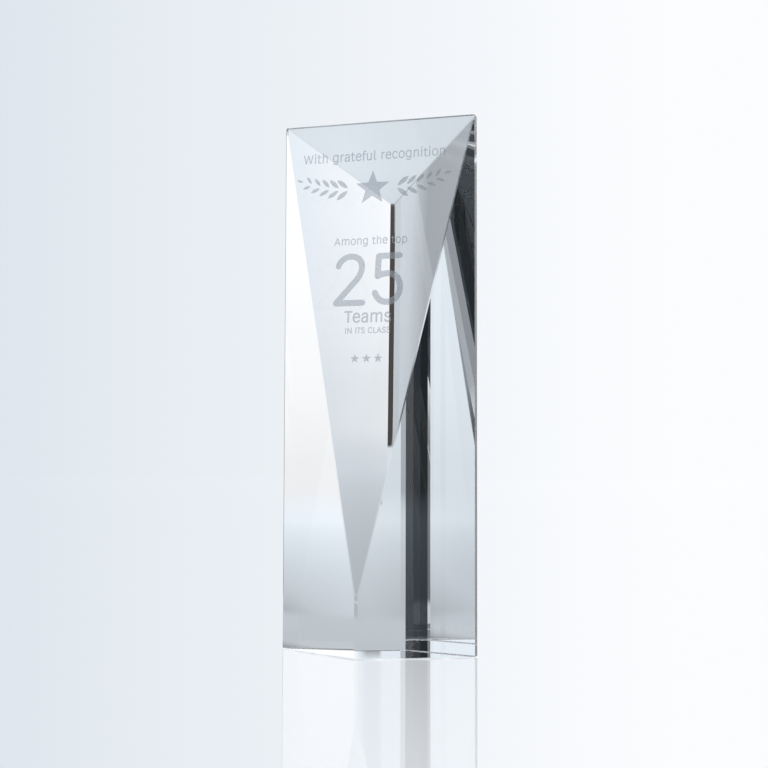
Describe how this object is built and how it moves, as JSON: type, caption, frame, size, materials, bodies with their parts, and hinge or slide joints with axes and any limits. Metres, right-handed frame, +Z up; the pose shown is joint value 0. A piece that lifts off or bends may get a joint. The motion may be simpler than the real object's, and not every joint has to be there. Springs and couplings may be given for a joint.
{
  "type": "crystal award",
  "caption": "Faceted clear crystal award tower on a slanted parallelogram base, with a tall triangular front facet carrying frosted sandblasted dedication marks.",
  "frame": {"origin": "centre of the base, on the surface that the award stands on", "axes": "+Z up, +X along the top ridge, dedication facet towards -Y"},
  "size_m": [0.0858, 0.0444, 0.2286],
  "materials": {
    "optical_crystal": "clear, polished",
    "frosted_etch": "sandblasted, frosted"
  },
  "bodies": {
    "root": {"crystal_block": "optical_crystal", "etched_recognition_line": "frosted_etch", "etched_star": "frosted_etch", "etched_laurel_left": "frosted_etch", "etched_laurel_right": "frosted_etch", "etched_rank_line": "frosted_etch", "etched_numeral": "frosted_etch", "etched_teams_word": "frosted_etch", "etched_class_line": "frosted_etch", "etched_small_stars": "frosted_etch"}
  },
  "joints": []
}
